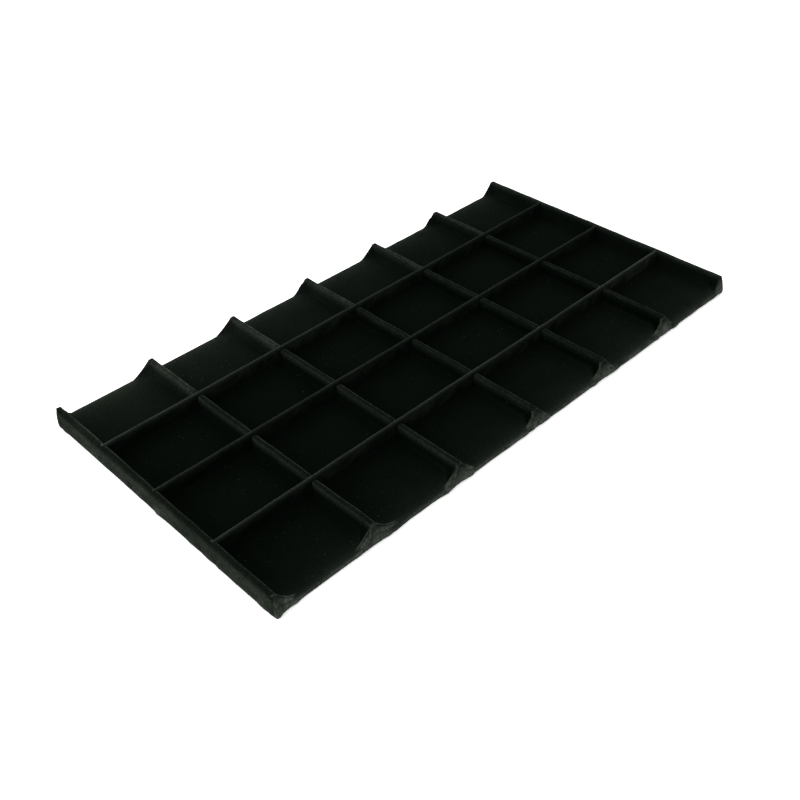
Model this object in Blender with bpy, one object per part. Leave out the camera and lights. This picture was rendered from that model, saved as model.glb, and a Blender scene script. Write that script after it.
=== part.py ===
"""Coin display tray: a velvet covered tray liner with six columns and four rows of open compartments.

Card strips stand on a greyboard base as two end rails, three long dividers and a short cross divider in
each row between columns. One velvet cloth covers board and strips, is tented over the free ends of the ribs
at both long edges, wraps round the board and is glued underneath as a hem. A backing sheet covers the hem.

Metres, +Z up. The origin is the middle of the underside, X runs along the tray and Y across it.
"""

import bmesh
import bpy
from mathutils import Vector

# Driving dimensions
LENGTH = 0.3588
WIDTH = 0.1920
HEIGHT = 0.0127
FLOOR_TOP = 0.0033
COLUMNS = 6
ROWS = 4
COLUMN_PITCH = 0.0585
ROW_PITCH = 0.0483
END_RAIL_INSET = 0.0027

CLOTH = 0.0004
GLUE_GAP = 0.0003
BACKING_THICKNESS = 0.0003
BACKING_INSET = 0.004
HEM_WIDTH = 0.015

SHORT_STRIP = 0.0014
LONG_STRIP = 0.0008
LONG_TOP = 0.0126
CROSS_TOP = 0.0123
RIB_END_INSET = 0.003
CROSS_END_GAP = 0.001

CREST_ROUND = 0.0009
CAVITY_ROUND = 0.0004
STRIP_ROUND = 0.0002
ROUND_SEGMENTS = 2

GUSSET_REACH_X = 0.0135
GUSSET_REACH_Y = 0.011
GUSSET_APEX_INSET = 0.0045
GUSSET_APEX_DROP = 0.0002
GUSSET_FRONT_INSET = 0.0002

# Worked out from them
HALF_LENGTH = LENGTH / 2
HALF_WIDTH = WIDTH / 2
COVER = CLOTH + GLUE_GAP
HEM_BOTTOM = BACKING_THICKNESS + GLUE_GAP
BOARD_BOTTOM = HEM_BOTTOM + COVER
BOARD_TOP = FLOOR_TOP - COVER
STRIP_BOTTOM = BOARD_TOP + GLUE_GAP
RIB_END = HALF_WIDTH - RIB_END_INSET

RAIL_LINE = HALF_LENGTH - END_RAIL_INSET
CROSS_LINES = [(i - COLUMNS / 2) * COLUMN_PITCH for i in range(1, COLUMNS)]
ROW_LINES = [(j - ROWS / 2) * ROW_PITCH for j in range(1, ROWS)]
LONG_NAMES = ["front", "middle", "back"]


class Rib:
    """A card strip standing on the board, with the cloth's tented ends that it has."""

    def __init__(self, name, low, high, open_sides=()):
        self.name = name
        self.low = Vector(low)
        self.high = Vector(high)
        self.open_sides = open_sides

    def grown(self, by):
        """Corners of the strip's outline grown by a margin all round, and sunk into the base form."""
        low, high = self.low - Vector((by, by, 0)), self.high + Vector((by, by, by))
        low.z = BOARD_TOP
        return low, high


def clear_scene():
    for old in list(bpy.data.objects):
        bpy.data.objects.remove(old, do_unlink=True)


def new_collection(name):
    collection = bpy.data.collections.new(name)
    bpy.context.scene.collection.children.link(collection)
    return collection


def new_material(name, colour, roughness, sheen=0.0):
    material = bpy.data.materials.new(name)
    material.use_nodes = True
    shader = material.node_tree.nodes["Principled BSDF"]
    shader.inputs["Base Color"].default_value = (*colour, 1.0)
    shader.inputs["Roughness"].default_value = roughness
    shader.inputs["Metallic"].default_value = 0.0
    shader.inputs["Sheen Weight"].default_value = sheen
    material.diffuse_color = (*colour, 1.0)
    return material


def add_object(name, shape, location, collection):
    mesh = bpy.data.meshes.new(name)
    shape.to_mesh(mesh)
    shape.free()
    thing = bpy.data.objects.new(name, mesh)
    thing.location = location
    collection.objects.link(thing)
    return thing


def add_box(name, low, high, collection, top_round=0.0):
    """A box between two corners, with the edges of its top face rounded by top_round."""
    low, high = Vector(low), Vector(high)
    shape = bmesh.new()
    bmesh.ops.create_cube(shape, size=1.0)
    bmesh.ops.scale(shape, vec=high - low, verts=shape.verts)
    if top_round:
        top_edges = [e for e in shape.edges if all(v.co.z > 0 for v in e.verts)]
        bmesh.ops.bevel(
            shape,
            geom=top_edges,
            offset=top_round,
            segments=ROUND_SEGMENTS,
            profile=0.5,
            affect="EDGES",
        )
    return add_object(name, shape, (low + high) / 2, collection)


def add_tent(name, rib, side, inset, collection):
    """Half of a four sided tent at a rib's free end, cut off in front just inside the tray's edge."""
    middle = (rib.low.x + rib.high.x) / 2
    apex = rib.high.z + COVER - GUSSET_APEX_DROP - inset
    shape = bmesh.new()
    bmesh.ops.create_cone(
        shape,
        segments=4,
        radius1=1.0,
        radius2=0.0,
        depth=1.0,
        cap_ends=True,
    )
    reach = (GUSSET_REACH_X - inset, GUSSET_REACH_Y - inset, apex - BOARD_BOTTOM - COVER)
    bmesh.ops.scale(shape, vec=reach, verts=shape.verts)
    place = Vector((middle, side * (HALF_WIDTH - GUSSET_APEX_INSET), apex - reach[2] / 2))
    front = side * (HALF_WIDTH - GUSSET_FRONT_INSET - inset / 2)
    cut(shape, Vector((0, front - place.y, 0)), Vector((0, side, 0)))
    if abs(middle) + GUSSET_REACH_X > HALF_LENGTH:
        end = 1 if middle > 0 else -1
        end_face = end * (HALF_LENGTH - GUSSET_FRONT_INSET - inset / 2)
        cut(shape, Vector((end_face - place.x, 0, 0)), Vector((end, 0, 0)))
    return add_object(name, shape, place, collection)


def cut(shape, point, outward):
    """Cuts off what lies past the plane and closes the hole."""
    geometry = shape.verts[:] + shape.edges[:] + shape.faces[:]
    bmesh.ops.bisect_plane(
        shape,
        geom=geometry,
        dist=1e-7,
        plane_co=point,
        plane_no=outward,
        clear_outer=True,
    )
    bmesh.ops.holes_fill(shape, edges=[e for e in shape.edges if e.is_boundary], sides=0)
    bmesh.ops.recalc_face_normals(shape, faces=shape.faces)


def hide_as_cutter(thing):
    thing.hide_render = True
    thing.display_type = "WIRE"


def add_boolean(thing, name, operation, other):
    modifier = thing.modifiers.new(name, "BOOLEAN")
    modifier.operation = operation
    if isinstance(other, bpy.types.Collection):
        modifier.operand_type = "COLLECTION"
        modifier.collection = other
    else:
        modifier.object = other


def strip_box(x, y, thickness, top):
    """Corners of a strip over the ranges x and y, one of which is a single line that it straddles."""
    if isinstance(x, tuple):
        y = (y - thickness / 2, y + thickness / 2)
    else:
        x = (x - thickness / 2, x + thickness / 2)
    return (x[0], y[0], STRIP_BOTTOM), (x[1], y[1], top - COVER)


def end_rails():
    run = (-RIB_END + COVER, RIB_END - COVER)
    for name, x in (("end_rail_left", -RAIL_LINE), ("end_rail_right", RAIL_LINE)):
        yield Rib(name, *strip_box(x, run, SHORT_STRIP, HEIGHT), open_sides=(-1, 1))


def long_dividers():
    """They run between the end rails, butted against them."""
    end = RAIL_LINE - SHORT_STRIP / 2 - GLUE_GAP
    for name, y in zip(LONG_NAMES, ROW_LINES):
        yield Rib("long_divider_" + name, *strip_box((-end, end), y, LONG_STRIP, LONG_TOP))


def cross_dividers():
    """Each spans one row: its front end is butted against a long divider, its back end stops short of the next."""
    butted = LONG_STRIP / 2 + GLUE_GAP
    stopped = LONG_STRIP / 2 + COVER + CROSS_END_GAP + COVER
    for i, x in enumerate(CROSS_LINES, start=1):
        for j in range(ROWS):
            in_front, at_back = j == 0, j == ROWS - 1
            front = COVER - RIB_END if in_front else ROW_LINES[j - 1] + butted
            back = RIB_END - COVER if at_back else ROW_LINES[j] - stopped
            sides = (-1,) * in_front + (1,) * at_back
            corners = strip_box(x, (front, back), SHORT_STRIP, CROSS_TOP)
            yield Rib(f"cross_divider_{i}_row_{j + 1}", *corners, open_sides=sides)


def cover_form(name, grow, crest_round, ribs, forms):
    """The solid inside the cloth's outer face, grown by COVER from the strips, or its inner face, by GLUE_GAP."""
    inset = COVER - grow
    rib_forms = new_collection(name + "_ribs")
    for rib in ribs:
        hide_as_cutter(add_box(f"{name}_{rib.name}", *rib.grown(grow), rib_forms, crest_round))
        for side in rib.open_sides:
            tent_name = f"{name}_tent_{rib.name}_{'front' if side < 0 else 'back'}"
            hide_as_cutter(add_tent(tent_name, rib, side, 2 * inset, rib_forms))
    half = Vector((HALF_LENGTH - inset, HALF_WIDTH - inset))
    form = add_box(name, (*-half, HEM_BOTTOM + inset), (*half, FLOOR_TOP - inset), forms)
    add_boolean(form, "ribs", "UNION", rib_forms)
    return form


def add_velvet_cover(ribs, parts, cutters, velvet):
    """A thin shell: the outer form less the inner one, open underneath inside the hem."""
    cover = cover_form("velvet_cover", COVER, CREST_ROUND, ribs, parts)
    inside = cover_form("cover_inside", GLUE_GAP, CAVITY_ROUND, ribs, cutters)
    opening = Vector((HALF_LENGTH - HEM_WIDTH, HALF_WIDTH - HEM_WIDTH))
    window = add_box("hem_opening", (*-opening, 0.0), (*opening, BOARD_BOTTOM), cutters)
    for cutter, purpose in ((inside, "hollow"), (window, "hem opening")):
        hide_as_cutter(cutter)
        add_boolean(cover, purpose, "DIFFERENCE", cutter)
    cover.data.materials.append(velvet)
    return cover


def add_strip(rib, parts, card):
    strip = add_box(rib.name, rib.low, rib.high, parts, top_round=STRIP_ROUND)
    strip.data.materials.append(card)
    return strip


def main():
    clear_scene()
    parts = new_collection("coin_display_tray")
    cutters = new_collection("cutters")
    tray = bpy.data.objects.new("tray_origin", None)
    parts.objects.link(tray)

    velvet = new_material("black_velvet", (0.006, 0.008, 0.007), 0.95, sheen=0.4)
    greyboard = new_material("greyboard", (0.36, 0.33, 0.28), 0.9)
    card = new_material("strip_card", (0.42, 0.36, 0.27), 0.85)
    paper = new_material("backing_paper", (0.02, 0.02, 0.021), 0.8)

    ribs = [*end_rails(), *long_dividers(), *cross_dividers()]
    pieces = [add_strip(rib, parts, card) for rib in ribs]

    board_half = Vector((HALF_LENGTH - COVER, HALF_WIDTH - COVER))
    board = add_box("base_board", (*-board_half, BOARD_BOTTOM), (*board_half, BOARD_TOP), parts)
    board.data.materials.append(greyboard)
    pieces.append(board)

    sheet_half = Vector((HALF_LENGTH - BACKING_INSET, HALF_WIDTH - BACKING_INSET))
    backing = add_box("backing_sheet", (*-sheet_half, 0.0), (*sheet_half, BACKING_THICKNESS), parts)
    backing.data.materials.append(paper)
    pieces.append(backing)

    pieces.append(add_velvet_cover(ribs, parts, cutters, velvet))
    for piece in pieces:
        piece.parent = tray


main()
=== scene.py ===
import math

import bpy
import numpy as np
from mathutils import Matrix, Vector


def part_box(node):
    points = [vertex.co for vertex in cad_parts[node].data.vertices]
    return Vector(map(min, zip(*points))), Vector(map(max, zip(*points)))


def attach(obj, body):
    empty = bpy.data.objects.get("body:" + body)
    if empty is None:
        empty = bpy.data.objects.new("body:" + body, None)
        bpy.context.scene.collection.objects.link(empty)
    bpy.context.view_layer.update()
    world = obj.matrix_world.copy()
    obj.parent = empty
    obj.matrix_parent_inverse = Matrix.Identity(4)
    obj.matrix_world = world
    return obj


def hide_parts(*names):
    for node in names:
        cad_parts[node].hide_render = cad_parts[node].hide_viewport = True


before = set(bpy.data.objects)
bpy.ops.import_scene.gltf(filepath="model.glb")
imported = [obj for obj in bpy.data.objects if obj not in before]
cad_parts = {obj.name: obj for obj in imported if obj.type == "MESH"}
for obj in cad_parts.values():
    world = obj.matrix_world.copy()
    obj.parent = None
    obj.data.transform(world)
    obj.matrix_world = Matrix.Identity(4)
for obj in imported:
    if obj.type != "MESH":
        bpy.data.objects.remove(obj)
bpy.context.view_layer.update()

MM = 0.001

# The cloth over the strips: what it adds to them, and how thick it is itself
COVER = 0.7 * MM
CLOTH = 0.4 * MM
HEM_WIDTH = 15 * MM

# Roundings of the covered ribs, and how much wider a wall stands at its foot
CREST_RADIUS = {"rail": 0.8 * MM, "cross": 0.65 * MM, "long": 0.7 * MM}
FOOT_RADIUS = {"rail": 1.0 * MM, "cross": 1.2 * MM, "long": 1.0 * MM}
WALL_DRAFT = {"rail": 0.1 * MM, "cross": 0.2 * MM, "long": 0.35 * MM}

# Where the grid lines of the cloth lie, in millimetres: from a rib's foot over the floor, from the end of a
# short rib, and from the tray's front and back edges
COLUMN_STEPS = (0.9, 1.9, 3.0, 4.3, 5.8, 7.6, 9.8, 13.0)
END_STEPS = (-0.5, -0.1, 0.02, 0.2, 0.6, 1.4)
EDGE_STEPS = (0.8, 1.2, 1.65, 2.1, 2.6, 3.1, 3.8, 4.8, 6.2, 8.2, 10.6, 13.6)
WIDEST_COLUMN_STEP = 6.5 * MM
WIDEST_ROW_STEP = 4.2 * MM

# Where the short ribs stop in front of a long divider: the gap, the share of their height that is missing in
# it, the rounding of their ends, and the share of their width that these lose
GAP_WIDTH = 1.0 * MM
GAP_DEPTH = 0.62
END_ROUND = 1.5 * MM
END_TAPER = 0.5

# Ends of the seven ribs that run from front to back, from the left end rail to the right one, in
# millimetres: how far inside the tray's edge each one's full height ends
FRONT_INSETS = [2.6, 2.6, 1.7, 1.6, 1.6, 1.7, 0.9]
BACK_INSETS = [2.8, 1.8, 1.8, 1.8, 1.8, 1.8, 1.4]
# The lower, the squarer the ends
BLUNTNESS = {"front": 0.65, "back": 0.3}
# How far the border of the upper face lies inside the tray's edge
EDGE_INSET = 0.8 * MM

# How far the cloth tented over each end reaches inwards and, in millimetres, along the tray's edge
TENT_DEPTH = 11 * MM
FRONT_TENTS = {"left": [3, 10.5, 11.5, 9, 10.5, 9.5, 6], "right": [11, 16, 9.5, 9, 9, 9.5, 3]}
BACK_TENTS = {"left": [3, 11.5, 12, 9.5, 10, 9, 7.5], "right": [6, 6, 6, 6, 6, 6, 3]}
# No tent reaches past the middle of a column
TENT_LIMIT = 28 * MM
# How hollow each tent's ridge is: 1 is straight
TENT_HOLLOW = {
    ("front", "left"): [1.3, 1.3, 1.3, 2.0, 2.2, 1.9, 1.6],
    ("front", "right"): [1.7, 1.9, 1.15, 1.1, 1.1, 1.15, 1.3],
    ("back", "left"): [1.05] * 7,
    ("back", "right"): [1.3] * 7,
}

# How far the right-hand side of each of those ribs is puffed out at its crest, in millimetres
PUFFED = [0.0, 0.35, 0.2, 0.2, 0.55, 0.6, 0.4]

# Folds pressed into the cloth where it is gathered at the left of each rib's front end, in millimetres:
# (rib, how far left of the rib it meets the bottom edge, thickness)
FRONT_PLEATS = [
    (1, 10.0, 0.75), (2, 11.0, 0.85), (3, 6.0, 1.0), (3, 10.0, 0.65), (4, 10.5, 0.85), (5, 9.5, 0.9),
]
# The same at the back ends, on both sides; a minus reaches to the right
BACK_PLEATS = [(1, 9.0, 0.7), (2, -8.5, 0.75), (3, 9.5, 0.8), (4, -8.0, 0.7), (5, 8.5, 0.8)]
# The fold that runs down the near left corner: places along it, and its thickness, in millimetres
CORNER_FOLD = [
    (-176.9, -93.4, 11.6), (-177.2, -94.6, 9.0), (-177.4, -95.5, 5.5),
    (-177.3, -96.4, 2.8), (-177.1, -96.8, 0.9),
]
CORNER_FOLD_THICK = 1.05

# Plan radius of each corner, by its side in x and in y
CORNER_ROUND = {(-1, -1): 1.4 * MM, (-1, 1): 5.0 * MM, (1, -1): 0.8 * MM, (1, 1): 1.6 * MM}

# Where the wrapped edges stray from the board's straight ones, in millimetres:
# (place along the edge, how far out)
FRONT_STRAY = [
    (-180, 1.7), (-176, 1.4), (-172, -0.1), (-166, 0.2), (-162, -1.0), (-150, -0.9), (-118, -0.6),
    (-110, 0.1), (-104, 0.8), (-98, -0.3), (-76, -0.4), (-70, 0.7), (-64, 0.1), (-58, 0.0), (-52, 0.8),
    (-47, 0.0), (-14, 0.1), (-10, 0.9), (-6, 0.1), (2, 0.2), (8, 0.5), (20, 0.6), (34, 0.3), (46, 0.3),
    (50, 1.0), (54, 0.4), (62, 0.8), (70, 1.3), (76, 0.5), (88, 0.6), (94, 0.9), (100, 0.7), (110, 0.9),
    (115, 0.4), (122, 0.7), (128, 1.5), (134, 0.6), (140, 0.6), (165, 0.4), (170, 1.2), (174, 0.7),
    (180, 1.5),
]
BACK_STRAY = [(-178, -1.2), (-170, -0.5), (-60, -0.45), (0, -0.25), (100, -0.3), (180, -0.1)]
LEFT_STRAY = [(-96, -0.15), (0, -0.35), (45, -0.6), (80, -0.85), (88, -0.1), (96, -0.5)]
RIGHT_STRAY = [(-96, 0.3), (96, 0.1)]
# The furthest that the wrapped cloth may lie inside them, so that the board stays covered
MOST_INSIDE = -0.5 * MM

# How far each long divider strays from its line, in millimetres, at the middle of each column
LONG_SWAY = [
    (-0.4, 0.0, 0.0, -0.3, 0.0, 0.4),
    (0.1, 0.2, 0.05, 0.2, 0.15, 0.15),
    (-0.4, -0.3, 0.0, 0.05, -0.1, 0.4),
]

# The wrapped edge, ring by ring downwards: how far it stands out from the border of the upper face, its
# height, and how much of a rib's height above the floor it still follows
EDGE_OUT = np.array([0.32, 0.58, 0.74, 0.80, 0.80, 0.62, 0.20]) * MM
EDGE_LEVEL = np.array([3.22, 2.95, 2.5, 1.9, 1.15, 0.5, 0.2]) * MM
EDGE_FOLLOW = [0.78, 0.5, 0.26, 0.08, 0.0, 0.0, 0.0]
# The hem under the board: how far each ring lies inside the tray's edge, and its height
HEM_IN = np.array([0.8 * MM, 3 * MM, 5 * MM, 11 * MM, HEM_WIDTH])
HEM_LEVEL = np.array([0.15, 0.3, 0.6, 0.6, 0.6]) * MM

# Lightness of the pile, where 0.5 shows as a grey of 50 out of 255; it holds painted light and shade.
# A rib counts as crest above this share of its height
CREST_SHARE = 0.965
# Up a wall: (shares of its height), (lightness). Painted shade, darkest at the foot and lighter towards the
# crest
WALL_TONES = ([0.1, 0.4, 0.6, 0.75, 0.82, 0.9, 0.96], [0.055, 0.075, 0.095, 0.16, 0.27, 0.34, 0.29])
RIGHT_WALL_TONES = ([0.1, 0.4, 0.75, 0.9, 0.96], [0.07, 0.085, 0.11, 0.16, 0.20])
LONG_WALL_TONES = ([0.05, 0.4, 0.65, 0.8, 0.9], [0.09, 0.14, 0.16, 0.19, 0.25])
# The end rails' outer faces: painted light, lightest low down
FLANK_TONES = ([0.3, 0.55, 0.7, 0.85, 0.95], [0.34, 0.34, 0.26, 0.17, 0.15])
# Over a crest: (millimetres from its middle, towards the right or the back), (lightness). A painted sheen
# highlight runs along the edge towards the right or the back
CREST_TONES = ([-1.4, -1.0, 0.0, 0.8, 1.05, 1.3], [0.25, 0.18, 0.13, 0.21, 0.58, 0.52])
RIGHT_CREST_TONES = ([-1.4, 0.0, 0.7, 1.3], [0.24, 0.29, 0.34, 0.36])
LONG_CREST_TONES = ([-1.1, -0.6, 0.0, 0.4, 0.7, 0.97, 1.1], [0.20, 0.24, 0.28, 0.34, 0.56, 0.56, 0.40])
# Down the rings of the wrapped edge, and on the hem and the folds. The wrapped edges carry painted light,
# lightest part way down the front edge
FRONT_EDGE_TONES = [0.36, 0.43, 0.49, 0.53, 0.51, 0.42, 0.31]
SIDE_EDGE_TONES = [0.33, 0.33, 0.34, 0.36, 0.37, 0.34, 0.29]
HEM_TONE = 0.16
# The folds: painted highlights, the front ones and the corner fold lighter towards the bottom edge
FRONT_PLEAT_TONES = (0.40, 0.50)
BACK_PLEAT_TONE = 0.34
CORNER_FOLD_TONES = ([0, 0.4, 1], [0.34, 0.50, 0.50])
# How uneven the pile is on the wrapped edge, the tents and the folds
EDGE_WEAR = 0.8

# The light that falls on an open face
STUDIO_LEVEL = 1.25
# How the pile's red, green and blue follow its grey: (times, plus)
PILE_TINT = ((1.0, -0.015), (1.0, 0.028), (0.96, -0.003))
DUST_COLOUR = (0.030, 0.034, 0.032, 1.0)

# The camera that took the picture, in the frame's axes
CAMERA_PLACE = (-0.32851, -0.34515, 0.35329)
CAMERA_AIM = (-0.03680, -0.02877, 0.0033)
CAMERA_ROLL = -2.445
CAMERA_LENS = 45.24
SENSOR_WIDTH = 36.0


class Grid:
    """Sizes of the covered tray, read from the CAD solids."""

    def __init__(self):
        _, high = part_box("velvet_cover")
        self.half_length = high.x
        self.half_width = high.y
        left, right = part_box("end_rail_left"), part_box("end_rail_right")
        longs = [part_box("long_divider_" + n) for n in ("front", "middle", "back")]
        crosses = [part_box(f"cross_divider_{i}_row_1") for i in range(1, 6)]
        strip_bottom = left[0].z
        self.floor = strip_bottom + CLOTH
        columns = [left, *crosses, right]
        self.columns = [(a.x + b.x) / 2 for a, b in columns]
        self.rows = [(a.y + b.y) / 2 for a, b in longs]
        self.kinds = ["rail", *["cross"] * len(crosses), "rail"]
        self.halves = [(b.x - a.x) / 2 + COVER for a, b in columns]
        self.heights = [b.z + COVER - self.floor for a, b in columns]
        low, high = longs[0]
        self.long_half = (high.y - low.y) / 2 + COVER
        self.long_height = high.z + COVER - self.floor


def waves(along, seed, longest, shortest, count=7):
    """A smooth random line of unit size, the same each run."""
    rng = np.random.default_rng(seed)
    lengths = np.geomspace(longest, shortest, count)
    total = np.zeros_like(along, dtype=float)
    for length in lengths:
        total += np.sin(2 * math.pi * along / length + rng.uniform(0, 2 * math.pi))
    return total / math.sqrt(count / 2)


def ripples(x, y, seed, size, count=14):
    """A smooth random surface of unit size whose bumps are about size across."""
    rng = np.random.default_rng(seed)
    total = np.zeros(np.broadcast(x, y).shape)
    for _ in range(count):
        turn = rng.uniform(0, math.pi)
        number = 2 * math.pi / (size * rng.uniform(0.7, 2.0))
        phase = rng.uniform(0, 2 * math.pi)
        total += np.sin(number * (x * math.cos(turn) + y * math.sin(turn)) + phase)
    return total / math.sqrt(count / 2)


def smooth_step(value, start, end):
    """Rises smoothly from 0 at start to 1 at end."""
    t = np.clip((value - start) / (end - start), 0, 1)
    return t * t * (3 - 2 * t)


def smooth_max(a, b, blend):
    """The larger of two heights, with a fillet where they cross."""
    t = np.clip(0.5 + 0.5 * (a - b) / blend, 0, 1)
    return b + (a - b) * t + blend * t * (1 - t)


def bell(value, middle, width):
    """1 at the middle, falling off on both sides."""
    return np.exp(-(((value - middle) / width) ** 2))


def rib_outline(half, kind, height):
    """One side of a covered rib: distances from its middle, and heights above the floor."""
    crest, foot, draft = CREST_RADIUS[kind], FOOT_RADIUS[kind], WALL_DRAFT[kind]
    turns = np.radians([5, 32, 58, 82])
    distances = [0.0, *(half - crest + crest * np.sin(turns))]
    heights = [height, *(height - crest * (1 - np.cos(turns)))]
    for share in (0.3, 0.65):
        distances.append(half + draft * share)
        heights.append(heights[4] + (foot - heights[4]) * share)
    turns = np.radians([12, 45, 90])
    distances += list(half + draft + foot * (1 - np.cos(turns)))
    heights += list(foot * (1 - np.sin(turns)))
    return np.array(distances), np.array(heights)


def lines_between(low, high, steps, widest):
    """Grid lines over a floor: close together beside both ribs and wide apart in the middle."""
    left = [low + step for step in steps]
    right = [high - step for step in steps]
    gap = right[-1] - left[-1]
    count = max(int(round(gap / widest)) - 1, 0)
    middle = [left[-1] + gap * (k + 1) / (count + 1) for k in range(count)]
    return left + middle + right[::-1]


def spaced_out(lines, least=0.08 * MM):
    """The lines in order, without those that lie on another."""
    kept = []
    for line in sorted(lines):
        if not kept or line - kept[-1] > least:
            kept.append(line)
    return np.array(kept)


def column_lines(grid):
    """Grid lines across the columns, from the left edge to the right one."""
    steps = [s * MM for s in COLUMN_STEPS]
    lines = []
    feet = []
    for x, half, kind, height in zip(grid.columns, grid.halves, grid.kinds, grid.heights):
        distances, _ = rib_outline(half, kind, height)
        feet.append(distances[-1])
        for d in distances:
            lines += [x - d, x + d]
    for i in range(len(grid.columns) - 1):
        low, high = grid.columns[i] + feet[i], grid.columns[i + 1] - feet[i + 1]
        lines += lines_between(low, high, steps, WIDEST_COLUMN_STEP)
    border = grid.half_length - EDGE_INSET
    inside = [x for x in lines if abs(x) < border - 0.1 * MM]
    return spaced_out(inside + [-border, border])


def row_lines(grid):
    """Grid lines across the rows, from the front edge to the back one."""
    distances, _ = rib_outline(grid.long_half, "long", grid.long_height)
    gap_end = grid.long_half + GAP_WIDTH
    ends = [gap_end + t * MM for t in END_STEPS]
    lines = []
    for y in grid.rows:
        lines += [y + d for d in distances] + [y - d for d in distances]
        lines += [y - e for e in ends]
    reach = distances[-1]
    for low, high in zip(grid.rows[:-1], grid.rows[1:]):
        lines += lines_between(low + reach, high - ends[-1], [1.6 * MM], WIDEST_ROW_STEP)
    for side in (-1, 1):
        inner = abs(grid.rows[0]) + (ends[-1] if side < 0 else reach)
        last = grid.half_width - EDGE_STEPS[-1] * MM
        lines += [side * (grid.half_width - s * MM) for s in EDGE_STEPS]
        lines += [side * (inner + (last - inner) * (k + 0.5) / 7) for k in range(7)]
    return spaced_out(lines)


def end_drop(inset, full, bluntness):
    """Share of a rib's height that is left near the tray's edge, where its cloth turns down."""
    return np.clip(inset / full, 0, 1) ** bluntness


def tent(beyond, inset, width, hollow, full, bluntness):
    """The cloth on one side of a rib's open end, as a share of its height: out to width along the edge."""
    reach = np.clip(1 - beyond / width, 0, 1)
    inward = np.clip(1 - (inset - full) / (TENT_DEPTH * (0.3 + 0.7 * reach)), 0, 1) ** 2
    return reach ** hollow * np.where(inset > full, inward, end_drop(inset, full, bluntness))


def rib_ends(grid, y):
    """How high, and how narrow, the short ribs are near the long dividers that they stop in front of."""
    gap_end = grid.long_half + GAP_WIDTH
    rounding = np.ones_like(y)
    taper = np.zeros_like(y)
    cross_height = grid.heights[1]
    for row in grid.rows:
        before = row - y - gap_end
        arc = END_ROUND - np.clip(before, 0, END_ROUND)
        drop = (END_ROUND - np.sqrt(END_ROUND ** 2 - arc ** 2)) / cross_height
        near = (before < END_ROUND) & (before > -GAP_WIDTH - grid.long_half)
        rounding = np.where(near & (before >= 0), 1 - 0.75 * drop, rounding)
        rounding = np.where(near & (before < 0), 1 - GAP_DEPTH, rounding)
        behind = y - row - grid.long_half
        rounding -= 0.06 * np.where(behind > 0, np.exp(-behind / (0.5 * MM)), 0)
        fade = smooth_step(before, END_ROUND * 1.1, 0) * smooth_step(before, -3.2 * MM, -0.6 * MM)
        taper = np.maximum(taper, END_TAPER * fade)
    return rounding, taper


def long_dividers(grid, x, y):
    """Heights of the long dividers, which end at the rails."""
    distances, levels = rib_outline(grid.long_half, "long", grid.long_height)
    long_part = np.zeros_like(x)
    for row in grid.rows:
        long_part = np.maximum(long_part, np.interp(np.abs(y - row), distances, levels))
    rail_line = grid.columns[-1]
    return long_part * (1 - smooth_step(np.abs(x), rail_line, rail_line + 0.5 * MM))


def divider_sway(grid, x, y):
    """How far each long divider's crest strays in y."""
    sway = np.zeros_like(x)
    middles = [(a + b) / 2 for a, b in zip(grid.columns[:-1], grid.columns[1:])]
    for j, row in enumerate(grid.rows):
        bend = np.interp(x, middles, [s * MM for s in LONG_SWAY[j]])
        bend += waves(x, 20 + j, 150 * MM, 26 * MM) * 0.05 * MM
        sway += np.where(np.abs(y - row) < 5 * MM, bend, 0)
    return sway


def rib_bend(i, kind, across, y):
    """How far a rib that runs from front to back strays in x at its crest."""
    bend = waves(y, 10 + i, 120 * MM, 22 * MM) * (0.08 if kind == "rail" else 0.11) * MM
    bend = bend + PUFFED[i] * MM * smooth_step(across, -1.0 * MM, 1.2 * MM)
    if i == 0:
        # The left end rail widens towards the back
        widening = smooth_step(y, -10 * MM, 70 * MM) * smooth_step(across, -1.0 * MM, 1.0 * MM)
        bend = bend + 0.5 * MM * widening
    return bend


def short_ribs(grid, x, y, inset):
    """Heights of the ribs from front to back and of their tents, their stray, and their narrowing."""
    rounding, taper = rib_ends(grid, y)
    rib_part = np.zeros_like(x)
    tents = np.zeros_like(x)
    lean = np.zeros_like(x)
    narrow = np.zeros_like(x)
    ends = (("front", FRONT_TENTS, FRONT_INSETS, y < 0), ("back", BACK_TENTS, BACK_INSETS, y > 0))
    for i, column in enumerate(grid.columns):
        kind, half, height = grid.kinds[i], grid.halves[i], grid.heights[i]
        across = x - column
        distances, levels = rib_outline(half, kind, height)
        height_line = height + waves(y, 40 + i, 70 * MM, 14 * MM) * 0.06 * MM
        part = np.interp(np.abs(across), distances, levels) * height_line / height
        if kind == "cross":
            part *= rounding
            narrow += taper * np.exp(-(across / (2.0 * MM)) ** 2) * across
        near = np.abs(across) < TENT_LIMIT
        for end, widths, insets, here in ends:
            full, bluntness = insets[i] * MM, BLUNTNESS[end]
            part = np.where(here, part * end_drop(inset, full, bluntness), part)
            for hand, sign in (("left", -1), ("right", 1)):
                beyond = np.clip(sign * across - half * 0.75, 0, None)
                width, hollow = widths[hand][i] * MM, TENT_HOLLOW[end, hand][i]
                shape = tent(beyond, inset, width, hollow, full, bluntness) * height * 0.985
                tents = np.maximum(tents, np.where(here & (sign * across >= 0) & near, shape, 0))
        rib_part = np.maximum(rib_part, part)
        lean += np.where(np.abs(across) < 6 * MM, rib_bend(i, kind, across, y), 0)
    # The left end rail's back end is turned outward
    at_left = x < 3 * MM - grid.columns[-1]
    lean -= 1.3 * MM * at_left * (y > 0) * np.exp(-inset / (3.0 * MM))
    return rib_part, tents, lean, narrow


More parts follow.
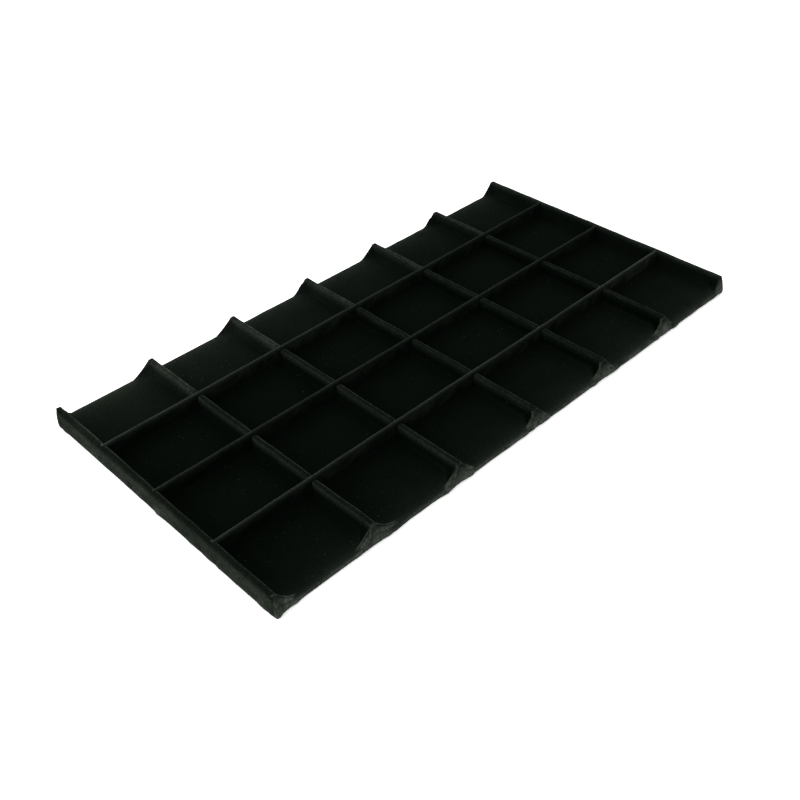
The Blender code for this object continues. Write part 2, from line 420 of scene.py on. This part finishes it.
def add_flanks(grid, x, inset, heights):
    """The outer faces of the end rails, which lean out as they go down to the board's edge."""
    beyond = np.abs(x) - grid.columns[-1]
    flank = np.interp(
        beyond,
        [1.42 * MM, 1.5 * MM, 1.65 * MM, 1.9 * MM],
        [6.6 * MM, 5.4 * MM, 4.2 * MM, 2.9 * MM],
        left=0,
    )
    flank = flank * np.clip((inset - 0.3 * MM) / (3 * MM), 0, 1) ** 0.5
    return np.where(beyond > 1.38 * MM, np.maximum(heights, flank), heights)


def cloth_surface(grid):
    """The cloth's upper face as a grid of points, with how light its pile is at each, painted light and
    shade included, and how uneven.
    """
    x_lines, y_lines = column_lines(grid), row_lines(grid)
    x, y = np.meshgrid(x_lines, y_lines, indexing="ij")
    inset = grid.half_width - np.abs(y)
    long_part = long_dividers(grid, x, y)
    rib_part, tents, lean, narrow = short_ribs(grid, x, y, inset)

    heights = smooth_max(rib_part, tents, 0.6 * MM)
    heights = smooth_max(heights, long_part, 0.25 * MM)
    heights -= 0.15 * MM * np.exp(-heights / (0.3 * MM))
    heights = add_flanks(grid, x, inset, heights)

    share = np.clip(heights / grid.long_height, 0, 1)
    long_share = np.clip(long_part / grid.long_height, 0, 1)
    points = np.stack(
        [
            x - narrow + lean * share * (1 - long_share),
            y + divider_sway(grid, x, y) * long_share,
            grid.floor + heights + ripples(x, y, 3, 14 * MM) * 0.03 * MM,
        ],
        axis=-1,
    )
    tone, wear = painted_light_and_mottle(grid, x, y, inset, heights, long_part, tents)
    return points, tone, wear


def floor_painted_light(x, inset, in_front, in_back):
    """Lightness of the compartments' floors: painted shade in the middle rows, painted light towards the
    open edges, changing from left to right.
    """
    rightward = smooth_step(x, -150 * MM, 150 * MM)
    middle = 0.078 + 0.016 * rightward
    front = 0.072 + 0.035 * rightward
    front = front + 0.11 * np.exp(-inset / (11 * MM)) + 0.17 * np.exp(-inset / (1.8 * MM))
    back = 0.115 + 0.09 * np.exp(-inset / (22 * MM)) + 0.12 * np.exp(-inset / (6 * MM))
    back = (back + 0.26 * np.exp(-inset / (1.4 * MM))) * (1.08 - 0.2 * rightward)
    return middle * (1 - in_back - in_front) + front * in_front + back * in_back


def rib_painted_light(x, y, across, share, left, right, in_back):
    """Lightness of the ribs from front to back: painted shade on the walls, with a painted sheen highlight
    along each crest and painted light on the back row.
    """
    # Painted shade that deepens from the left ribs to the right ones
    dim = np.interp(x, [-117 * MM, -58 * MM, 0, 58 * MM, 117 * MM], [1.0, 0.93, 0.7, 0.58, 0.4])
    wall = np.interp(share, *WALL_TONES) * dim
    on_crest = share > CREST_SHARE
    rib = np.where(on_crest, np.interp(across, *CREST_TONES), wall)
    rib = np.where(left, np.where(on_crest, rail_crest_highlight(across, y), wall), rib)
    right_wall = np.interp(share, *RIGHT_WALL_TONES)
    rib = np.where(right, np.where(on_crest, np.interp(across, *RIGHT_CREST_TONES), right_wall), rib)
    # Painted light over the back row
    lift = 0.06 + 0.08 * dim + 0.04 * smooth_step(share, 0.95, 1.0)
    lift = np.where(right, 0.04, np.where(left, 0.05, lift))
    return rib + lift * in_back


def divider_painted_light(grid, x, y, heights, long_share):
    """Lightness of the long dividers: a painted sheen highlight as a thin light line along the back edge of
    each crest.
    """
    rows = np.array(grid.rows)
    beside = np.abs(y[..., None] - rows).argmin(axis=-1)
    over = (y - rows[beside]) / MM
    first = grid.columns[1]
    side = np.interp(long_share, *LONG_WALL_TONES)
    # Painted shade on the walls in the left column
    side = side * np.interp(x, [first - 5 * MM, first + 5 * MM], [0.65, 1.0])
    patchy = 1 + 0.35 * np.clip(ripples(x * 1.4, heights * 3, 71, 9 * MM), -1, 1)
    tone = np.where(long_share > 0.93, np.interp(over, *LONG_CREST_TONES), side * patchy)
    # Painted light and shade that differ for the front, middle and back divider
    front = np.interp(x, [100 * MM, 125 * MM], [1.0, 1.25])
    middle = np.full_like(x, 0.84)
    back = np.interp(x, [-150 * MM, 150 * MM], [1.2, 0.78])
    return tone * np.choose(beside, [front, middle, back])


def add_tent_highlights(tone, grid, y, inset, share, tents, nearest):
    """Adds painted highlights on the tents' ridges and faces and on the back tips. Also gives where the
    faces are.
    """
    tent_share = tents / grid.heights[0]
    there = smooth_step(tent_share, 0.01, 0.06)
    at_front = y < 0
    full = np.where(at_front, np.array(FRONT_INSETS)[nearest], np.array(BACK_INSETS)[nearest]) * MM
    wide = nearest <= 1
    plain = nearest == len(grid.columns) - 1
    ridge = bell(inset, full, 0.5 * MM) * there * at_front
    face = smooth_step(inset, full, full * 0.6) * there * at_front
    low = smooth_step(tent_share, 0.75, 0.15)
    face_highlight = np.where(plain, 0.24, np.where(wide, 0.30, 0.28) + 0.30 * low)
    ridge_highlight = np.where(plain, 0.24, np.where(wide, 0.48, 0.38) + 0.2 * low)
    tone = np.maximum(tone, face_highlight * face)
    tone = np.maximum(tone, ridge_highlight * ridge)
    tip = smooth_step(inset, 3.5 * MM, 0.8 * MM) * smooth_step(share, 0.3, 0.8) * (y > 0)
    return np.maximum(tone, np.where(nearest == 0, 0.46, 0.38) * tip), face


def painted_light_and_mottle(grid, x, y, inset, heights, long_part, tents):
    """How light the pile is at each point, and how uneven: painted shade on floors and walls, painted
    highlights on crests and edges, and uneven pile on ribs and edges.
    """
    columns = np.array(grid.columns)
    nearest = np.abs(x[..., None] - columns).argmin(axis=-1)
    share = np.clip(heights / np.array(grid.heights)[nearest], 0, 1)
    across = (x - columns[nearest]) / MM
    long_share = np.clip(long_part / grid.long_height, 0, 1)
    in_back = smooth_step(y, grid.rows[-1], grid.rows[-1] + 3 * MM)
    in_front = smooth_step(y, grid.rows[0], grid.rows[0] - 3 * MM)
    on_rib = smooth_step(share, 0.04, 0.25)
    on_divider = smooth_step(long_share, 0.04, 0.25) * (long_part >= heights - 0.6 * MM)

    rib = rib_painted_light(x, y, across, share, nearest == 0, nearest == len(columns) - 1, in_back)
    tone = floor_painted_light(x, inset, in_front, in_back) * (1 - on_rib) + rib * on_rib
    divider = divider_painted_light(grid, x, y, heights, long_share)
    tone = tone * (1 - on_divider) + divider * on_divider
    tone, face = add_tent_highlights(tone, grid, y, inset, share, tents, nearest)
    outer = np.abs(x) > columns[-1] + 1.2 * MM
    # Painted light on the end rails' outer faces
    tone = np.where(outer, np.interp(share, *FLANK_TONES), tone)

    wear = 0.45 + 0.40 * on_rib + 0.10 * smooth_step(share, 0.7, 0.9) * on_rib
    wear = np.where(outer, 0.85, wear)
    wear = np.maximum(wear, EDGE_WEAR * face)
    wear = np.where(long_share > 0.9, 0.5, wear)
    return tone, wear


def rail_crest_highlight(across, y):
    """Lightness over the left end rail: dark on top, with a painted sheen highlight as a thin light line
    along its inner edge, brighter towards the back.
    """
    line = np.interp(y, [-60 * MM, 0, 40 * MM, 60 * MM], [0.36, 0.42, 0.48, 0.56])
    edge = smooth_step(across, 0.6, 0.8)
    return 0.15 * (1 - edge) + line * edge


def round_corners(x, y, grid):
    """Pulls a rectangular outline in to round corners, at the radius of each corner."""
    x, y = x.copy(), y.copy()
    for (side_x, side_y), radius in CORNER_ROUND.items():
        dx = side_x * x - (grid.half_length - radius)
        dy = side_y * y - (grid.half_width - radius)
        inside = (dx > 0) & (dy > 0)
        dx, dy = dx[inside], dy[inside]
        pull = np.maximum(dx, dy) / np.maximum(np.hypot(dx, dy), 1e-9)
        x[inside] = side_x * (grid.half_length - radius + dx * pull)
        y[inside] = side_y * (grid.half_width - radius + dy * pull)
    return x, y


def border_loop(n, m):
    """Grid places once round the border of an n by m grid."""
    loop = [(i, 0) for i in range(n)]
    loop += [(n - 1, j) for j in range(1, m)]
    loop += [(i, m - 1) for i in range(n - 2, -1, -1)]
    loop += [(0, j) for j in range(m - 2, 0, -1)]
    return loop


def edge_stray(border, signs):
    """How far the wrapped edge strays outward at each place of the border."""
    stray = np.zeros(len(border))
    sides = ((-1, 1, FRONT_STRAY), (1, 1, BACK_STRAY), (-1, 0, LEFT_STRAY), (1, 0, RIGHT_STRAY))
    for side, axis, table in sides:
        places, amounts = np.array(table).T * MM
        here = signs[:, axis] == side
        stray[here] = np.interp(border[here, 1 - axis], places, amounts)
    return stray


def wrapped_edges(points, grid):
    """Closed loops that carry the cloth from the grid's border over the board's edge and under it."""
    n, m = points.shape[:2]
    loop = border_loop(n, m)
    border = np.array([points[i, j] for i, j in loop])
    signs = np.array([((i == n - 1) * 1.0 - (i == 0), (j == m - 1) * 1.0 - (j == 0)) for i, j in loop])
    at_front, at_back = signs[:, 1] < 0, signs[:, 1] > 0
    above_floor = border[:, 2] - grid.floor
    tented = np.clip(above_floor / grid.heights[0], 0, 1)
    # Painted light on the wrapped edge under each tent, more where the tent stands higher
    tent_painted_light = np.where(at_front, 0.12, np.where(at_back, 0.14, 0.0)) * np.sqrt(tented)

    around = np.cumsum(np.linalg.norm(np.diff(border, axis=0, prepend=border[:1]), axis=1))
    roll = waves(around, 61, 60 * MM, 7 * MM) * 0.16 * MM
    lumps = waves(around, 67, 24 * MM, 5 * MM, count=5) * 0.10 * MM
    uneven = np.maximum(roll + lumps + edge_stray(border, signs), MOST_INSIDE)
    rings = []
    tones = []
    for k, (out, level, follow) in enumerate(zip(EDGE_OUT, EDGE_LEVEL, EDGE_FOLLOW)):
        ring = border.copy()
        share = math.sin(math.pi * (k + 1) / (len(EDGE_OUT) + 1))
        ring[:, :2] += signs * (out + uneven * share)[:, None]
        ring[:, 2] = level + np.clip(above_floor, 0, None) * follow
        rings.append(ring)
        # Painted light down the rings, lighter where the edge rolls out
        shade = np.where(at_front, FRONT_EDGE_TONES[k], SIDE_EDGE_TONES[k]) + tent_painted_light
        tones.append(shade + 0.05 * (roll + lumps) / (0.2 * MM))
    half = np.array([grid.half_length, grid.half_width])
    for step, level in zip(HEM_IN, HEM_LEVEL):
        ring = border.copy()
        plain = border[:, :2] * ((half - step) / half)
        ring[:, :2] = np.where(signs != 0, signs * (half - step), plain)
        ring[:, 2] = level
        rings.append(ring)
        tones.append(np.full(len(ring), HEM_TONE))
    return loop, rings, tones


def velvet_cloth(grid, velvet):
    """The whole cloth as one mesh: its upper face, the wrapped edges and the hem."""
    points, tone, wear = cloth_surface(grid)
    n, m = points.shape[:2]
    loop, rings, ring_tones = wrapped_edges(points, grid)
    vertices = [points.reshape(-1, 3), *rings]
    tones = np.concatenate([tone.reshape(-1), *ring_tones])
    wears = np.concatenate([wear.reshape(-1), np.full(len(tones) - wear.size, EDGE_WEAR)])
    faces = []
    for i in range(n - 1):
        for j in range(m - 1):
            faces.append((i * m + j, (i + 1) * m + j, (i + 1) * m + j + 1, i * m + j + 1))
    previous = [i * m + j for i, j in loop]
    start = n * m
    for ring in rings:
        current = list(range(start, start + len(ring)))
        start += len(ring)
        for k in range(len(ring)):
            after = (k + 1) % len(ring)
            faces.append((previous[after], previous[k], current[k], current[after]))
        previous = current
    vertices = np.concatenate(vertices)
    vertices[:, 0], vertices[:, 1] = round_corners(vertices[:, 0], vertices[:, 1], grid)

    cloth = add_mesh("velvet_cloth", vertices, faces, velvet)
    set_pile(cloth, tones, wears)
    solid = cloth.modifiers.new("thickness", "SOLIDIFY")
    solid.thickness = CLOTH
    solid.offset = -1
    return cloth


def add_mesh(name, vertices, faces, material):
    """A new piece that rides on the tray."""
    mesh = bpy.data.meshes.new(name)
    mesh.from_pydata([tuple(v) for v in vertices], [], faces)
    mesh.update()
    mesh.materials.append(material)
    thing = bpy.data.objects.new(name, mesh)
    bpy.context.scene.collection.objects.link(thing)
    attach(thing, "root")
    return thing


def set_pile(thing, tones, wears):
    """Smooths a velvet mesh and stores how light its pile is, painted light and shade included, and how
    uneven.
    """
    thing.data.shade_smooth()
    for label, values in (("pile_tone_and_painted_light", tones), ("pile_wear", wears)):
        attribute = thing.data.attributes.new(label, "FLOAT", "POINT")
        attribute.data.foreach_set("value", np.array(values, np.float32))


def smooth_path(points, count):
    """Points along a smooth curve through the given ones (Catmull-Rom)."""
    points = np.array(points, dtype=float)
    padded = np.vstack([2 * points[0] - points[1], points, 2 * points[-1] - points[-2]])
    places = np.linspace(0, len(points) - 1, count)
    path = []
    for place in places:
        k = min(int(place), len(points) - 2)
        t = place - k
        a, b, c, d = padded[k:k + 4]
        square = (2 * a - 5 * b + 4 * c - d) * t ** 2
        cube = (3 * b - a - 3 * c + d) * t ** 3
        path.append(0.5 * (2 * b + (c - a) * t + square + cube))
    return np.array(path)


def swept_fold(path, radii, flatness, outward):
    """A closed fold of cloth along a path: an oval section, thin at both ends."""
    sides = 10
    vertices = []
    faces = []
    tangents = np.gradient(path, axis=0)
    for point, tangent, radius in zip(path, tangents, radii):
        tangent = tangent / np.linalg.norm(tangent)
        across = np.cross(tangent, outward)
        across /= np.linalg.norm(across)
        out = np.cross(across, tangent)
        for k in range(sides):
            turn = 2 * math.pi * k / sides
            vertices.append(point + radius * (math.cos(turn) * across * flatness + math.sin(turn) * out))
    last = (len(path) - 1) * sides
    for start in range(0, last, sides):
        for k in range(sides):
            after = (k + 1) % sides
            faces.append((start + k, start + after, start + sides + after, start + sides + k))
    faces.append(tuple(range(sides))[::-1])
    faces.append(tuple(range(last, last + sides)))
    return vertices, faces


def pleat_path(grid, rib, reach, side, strays, count):
    """The route of one pleat: from its rib's end over the tent's slope and down the wrapped edge."""
    sign = -1 if reach > 0 else 1
    reach = abs(reach) * MM
    half, height = grid.halves[rib], grid.heights[rib]
    edge, floor = grid.half_width, grid.floor
    hollow = TENT_HOLLOW["front" if side < 0 else "back", "left" if sign < 0 else "right"][rib]
    places, amounts = np.array(strays).T * MM
    inside = np.clip(np.interp(grid.columns[rib] + sign * reach, places, amounts), MOST_INSIDE, 0)
    face = edge + 0.05 * MM + inside
    stops = [
        (half * 0.7, edge - 3.0 * MM, floor + height - 0.9 * MM),
        (half + 0.6 * MM, edge - 2.1 * MM, floor + height - 2.4 * MM),
        (reach * 0.42, edge - 0.9 * MM, floor + height * 0.58 ** hollow - 0.9 * MM),
        (reach * 0.72, face, floor + height * 0.28 ** hollow - 1.5 * MM),
        (reach, face, 0.9 * MM),
    ]
    return smooth_path([(grid.columns[rib] + sign * a, side * b, c) for a, b, c in stops], count)


def pleats(grid, velvet):
    """Pressed folds of the gathered cloth, from the ribs' ends down to the board's bottom edge."""
    count = 16
    shares = np.linspace(0, 1, count)
    vertices, faces, tones = [], [], []

    def add_fold(path, radii, flatness, outward):
        more, joints = swept_fold(path, radii, flatness, np.array(outward))
        faces.extend(tuple(v + len(vertices) for v in face) for face in joints)
        vertices.extend(more)
        return len(more)

    for side, table, strays in ((-1, FRONT_PLEATS, FRONT_STRAY), (1, BACK_PLEATS, BACK_STRAY)):
        for k, (rib, reach, thick) in enumerate(table):
            path = pleat_path(grid, rib, reach, side, strays, count)
            radii = thick * MM * (0.22 + 0.78 * np.sin(math.pi * np.clip(shares * 0.86 + 0.1, 0, 1)))
            radii *= 1 + 0.12 * waves(shares, 90 + k, 0.7, 0.2, count=3)
            added = add_fold(path, radii, 0.62, [0, side, 0.25])
            # Painted highlights on the folds, the front ones lighter towards the bottom edge
            tones += list(np.linspace(*FRONT_PLEAT_TONES, added) if side < 0 else [BACK_PLEAT_TONE] * added)
    path = smooth_path([[v * MM for v in stop] for stop in CORNER_FOLD], count)
    radii = CORNER_FOLD_THICK * MM * np.interp(shares, [0, 0.3, 0.9, 1], [0.3, 0.75, 1.0, 0.55])
    added = add_fold(path, radii, 0.8, [-0.3, -1, 0.2])
    # Painted highlight down the corner fold, lighter lower down
    tones += list(np.repeat(np.interp(shares, *CORNER_FOLD_TONES), added // count))
    folds = add_mesh("velvet_pleats", vertices, faces, velvet)
    set_pile(folds, tones, [EDGE_WEAR] * len(tones))
    return folds


def node(tree, kind, **values):
    """A new node with the given settings."""
    made = tree.nodes.new(kind)
    for name, value in values.items():
        setattr(made, name, value)
    return made


def scalar(tree, operation, a, b=None, clamp=False):
    """A Math node; a and b are sockets or numbers."""
    made = node(tree, "ShaderNodeMath", operation=operation, use_clamp=clamp)
    for socket, value in zip(made.inputs, (a, b)):
        if value is None:
            continue
        if isinstance(value, (int, float)):
            socket.default_value = value
        else:
            tree.links.new(value, socket)
    return made.outputs[0]


def weighted(tree, *terms):
    """The sum of (socket, weight) terms."""
    parts = [scalar(tree, "MULTIPLY", value, weight) for value, weight in terms]
    total = parts[0]
    for part in parts[1:]:
        total = scalar(tree, "ADD", total, part)
    return total


def noise_of(tree, place, scale, detail=2.0, roughness=0.5):
    """Noise with about this many bumps to the metre."""
    made = node(tree, "ShaderNodeTexNoise")
    made.inputs["Scale"].default_value = scale
    made.inputs["Detail"].default_value = detail
    made.inputs["Roughness"].default_value = roughness
    tree.links.new(place, made.inputs["Vector"])
    return made.outputs["Fac"]


def specks_of(tree, place, scale, radius, stretch=(1, 1, 1), turn=(0, 0, 0)):
    """1 inside small scattered dots of the given radius, 0 elsewhere; stretched, they are short fibres."""
    mapping = node(tree, "ShaderNodeMapping")
    mapping.inputs["Scale"].default_value = stretch
    mapping.inputs["Rotation"].default_value = turn
    tree.links.new(place, mapping.inputs["Vector"])
    cells = node(tree, "ShaderNodeTexVoronoi")
    cells.inputs["Scale"].default_value = scale
    tree.links.new(mapping.outputs["Vector"], cells.inputs["Vector"])
    return scalar(tree, "LESS_THAN", cells.outputs["Distance"], radius * scale)


def ramp_of(tree, value, stops):
    """A ColorRamp from (position, (r, g, b)) stops."""
    made = node(tree, "ShaderNodeValToRGB")
    elements = made.color_ramp.elements
    while len(elements) < len(stops):
        elements.new(0.5)
    for element, (position, colour) in zip(elements, stops):
        element.position = position
        element.color = (*colour, 1.0)
    tree.links.new(value, made.inputs["Fac"])
    return made.outputs["Color"]


def pile_colour(tone):
    """Linear colour of pile that shows as a grey of 100 * tone, out of 255, under the studio's light."""
    channels = []
    for gain, shift in PILE_TINT:
        value = max(tone * gain + shift, 0.0) * 100 / 255
        # From sRGB to linear
        level = value / 12.92 if value <= 0.04045 else ((value + 0.055) / 1.055) ** 2.4
        channels.append(level / STUDIO_LEVEL)
    return tuple(channels)


def new_material(name, roughness, specular):
    """A node material's tree and its Principled shader."""
    material = bpy.data.materials.new(name)
    material.use_nodes = True
    shader = material.node_tree.nodes["Principled BSDF"]
    shader.inputs["Roughness"].default_value = roughness
    shader.inputs["Specular IOR Level"].default_value = specular
    return material, material.node_tree, shader


def add_bump(tree, shader, height, strength, distance):
    bump = node(tree, "ShaderNodeBump")
    bump.inputs["Strength"].default_value = strength
    bump.inputs["Distance"].default_value = distance
    tree.links.new(height, bump.inputs["Height"])
    tree.links.new(bump.outputs["Normal"], shader.inputs["Normal"])


def dusted(tree, place, colour):
    """The colour with dots, short fibres and clumps of dust scattered over it, thicker in some places."""
    dots = specks_of(tree, place, 260, 0.24 * MM)
    fibres = specks_of(tree, place, 210, 0.12 * MM, (1.0, 0.16, 1.0), (0, 0, 0.6))
    clumps = specks_of(tree, place, 105, 0.36 * MM)
    faint_clumps = scalar(tree, "MULTIPLY", clumps, 0.6)
    lint = scalar(tree, "MAXIMUM", scalar(tree, "MAXIMUM", dots, fibres), faint_clumps)
    dusty = node(tree, "ShaderNodeMapRange")
    tree.links.new(noise_of(tree, place, 26, detail=1), dusty.inputs["Value"])
    dusty.inputs["From Min"].default_value = 0.36
    dusty.inputs["From Max"].default_value = 0.68
    mix = node(tree, "ShaderNodeMix", data_type="RGBA")
    tree.links.new(scalar(tree, "MULTIPLY", lint, dusty.outputs["Result"]), mix.inputs["Factor"])
    tree.links.new(colour, mix.inputs["A"])
    mix.inputs["B"].default_value = DUST_COLOUR
    return mix.outputs["Result"]


def velvet_material():
    """Short black pile: its lightness, painted light and shade included, is stored in the mesh, and broken
    up here at three scales.
    """
    material, tree, shader = new_material("black_velvet_pile", roughness=0.95, specular=0.0)
    shader.inputs["Sheen Weight"].default_value = 0.012
    shader.inputs["Sheen Roughness"].default_value = 0.3
    shader.inputs["Sheen Tint"].default_value = (0.9, 1.0, 0.95, 1.0)
    place = node(tree, "ShaderNodeTexCoord").outputs["Object"]
    tone = node(tree, "ShaderNodeAttribute", attribute_name="pile_tone_and_painted_light").outputs["Fac"]
    wear = node(tree, "ShaderNodeAttribute", attribute_name="pile_wear").outputs["Fac"]

    patches = noise_of(tree, place, 60, detail=3)
    crushed = noise_of(tree, place, 700, detail=3, roughness=0.6)
    pile = noise_of(tree, place, 2600, detail=2, roughness=0.7)
    mottle = weighted(tree, (patches, 0.5), (crushed, 1.1), (pile, 0.4))
    centred = scalar(tree, "SUBTRACT", mottle, 1.0)
    uneven = scalar(tree, "MULTIPLY", centred, scalar(tree, "MULTIPLY", wear, 1.6))
    level = scalar(tree, "MULTIPLY", tone, scalar(tree, "ADD", uneven, 1.0), clamp=True)
    stops = [(t, pile_colour(t)) for t in (0.0, 0.05, 0.1, 0.15, 0.2, 0.28, 0.36, 0.46, 0.6, 0.8, 1.0)]
    colour = dusted(tree, place, ramp_of(tree, level, stops))
    tree.links.new(colour, shader.inputs["Base Color"])
    add_bump(tree, shader, weighted(tree, (crushed, 0.7), (pile, 0.3)), strength=0.5, distance=0.4 * MM)
    return material


def board_material(name, dark, light, scale, roughness):
    """Pulp board or card: fibres and flecks between two tones."""
    material, tree, shader = new_material(name, roughness, specular=0.25)
    place = node(tree, "ShaderNodeTexCoord").outputs["Object"]
    flecks = noise_of(tree, place, scale, detail=6, roughness=0.7)
    tree.links.new(ramp_of(tree, flecks, [(0.3, dark), (0.7, light)]), shader.inputs["Base Color"])
    grain = noise_of(tree, place, scale * 2.5, detail=4)
    add_bump(tree, shader, grain, strength=0.3, distance=0.1 * MM)
    return material


def rounded_board(greyboard):
    """The base board with its corners blunted, as the cloth is drawn round them."""
    low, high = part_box("base_board")
    segments = 5
    outline = []
    for quarter, corner in enumerate(((1, 1), (-1, 1), (-1, -1), (1, -1))):
        radius = CORNER_ROUND[corner]
        centre = (corner[0] * (high.x - radius), corner[1] * (high.y - radius))
        for k in range(segments + 1):
            turn = math.pi / 2 * (quarter + k / segments)
            outline.append((centre[0] + radius * math.cos(turn), centre[1] + radius * math.sin(turn)))
    count = len(outline)
    vertices = [(x, y, z) for z in (low.z, high.z) for x, y in outline]
    faces = [tuple(range(count))[::-1], tuple(range(count, 2 * count))]
    faces += [(k, (k + 1) % count, count + (k + 1) % count, count + k) for k in range(count)]
    board = add_mesh("board_core", vertices, faces, greyboard)
    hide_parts("base_board")


def dress_cad_nodes():
    """Materials for the CAD's own strips and backing sheet, and the board with blunted corners."""
    greyboard = board_material("greyboard_pulp", (0.24, 0.22, 0.19), (0.42, 0.39, 0.33), 900, 0.9)
    card = board_material("strip_card_pulp", (0.30, 0.25, 0.18), (0.50, 0.43, 0.33), 1100, 0.85)
    paper = board_material("backing_paper_grain", (0.012, 0.012, 0.013), (0.03, 0.03, 0.031), 1500, 0.75)
    for name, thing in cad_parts.items():
        if name in ("velvet_cover", "base_board"):
            continue
        thing.data.materials.clear()
        thing.data.materials.append(paper if name == "backing_sheet" else card)
    rounded_board(greyboard)


def pale_floor():
    """A plain white floor just under the tray, bright enough to run into the white background."""
    bpy.ops.mesh.primitive_plane_add(size=8.0, location=(0, 0, -0.2 * MM))
    floor = bpy.context.object
    floor.name = "studio_floor"
    material, _, shader = new_material("studio_white", roughness=0.8, specular=0.1)
    shader.inputs["Base Color"].default_value = (0.9, 0.9, 0.9, 1.0)
    shader.inputs["Emission Color"].default_value = (1.0, 1.0, 1.0, 1.0)
    shader.inputs["Emission Strength"].default_value = 0.35
    floor.data.materials.append(material)


def soft_light(name, place, aim, size, power):
    """A soft box of the given width and height."""
    data = bpy.data.lights.new(name, "AREA")
    data.shape = "RECTANGLE"
    data.size, data.size_y = size
    data.energy = power
    lamp = bpy.data.objects.new(name, data)
    lamp.location = place
    lamp.rotation_euler = (Vector(aim) - Vector(place)).to_track_quat("-Z", "Y").to_euler()
    bpy.context.scene.collection.objects.link(lamp)


def studio():
    """The floor, an even white surround and two soft boxes."""
    pale_floor()
    world = bpy.data.worlds.new("studio")
    world.use_nodes = True
    background = world.node_tree.nodes["Background"]
    background.inputs["Color"].default_value = (1.0, 1.0, 1.0, 1.0)
    background.inputs["Strength"].default_value = 1.1
    bpy.context.scene.world = world
    soft_light("back_softbox", (0.5, 1.0, 0.7), (0, 0, 0), (1.4, 0.8), 14)
    soft_light("side_softbox", (-1.1, 0.1, 0.5), (0, 0, 0), (0.9, 0.6), 8)
    bpy.context.scene.view_settings.view_transform = "Standard"


def photo_camera():
    """The camera at the photo's place and angle."""
    data = bpy.data.cameras.new("photo_camera")
    data.lens = CAMERA_LENS
    data.sensor_width = SENSOR_WIDTH
    camera = bpy.data.objects.new("photo_camera", data)
    bpy.context.scene.collection.objects.link(camera)
    aim = Vector(CAMERA_AIM) - Vector(CAMERA_PLACE)
    turn = aim.to_track_quat("-Z", "Y").to_matrix() @ Matrix.Rotation(math.radians(CAMERA_ROLL), 3, "Z")
    camera.matrix_world = Matrix.Translation(CAMERA_PLACE) @ turn.to_4x4()
    bpy.context.scene.camera = camera


photo_camera()
studio()
dress_cad_nodes()
tray = Grid()
velvet = velvet_material()
cloth = velvet_cloth(tray, velvet)
folds = pleats(tray, velvet)
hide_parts("velvet_cover")
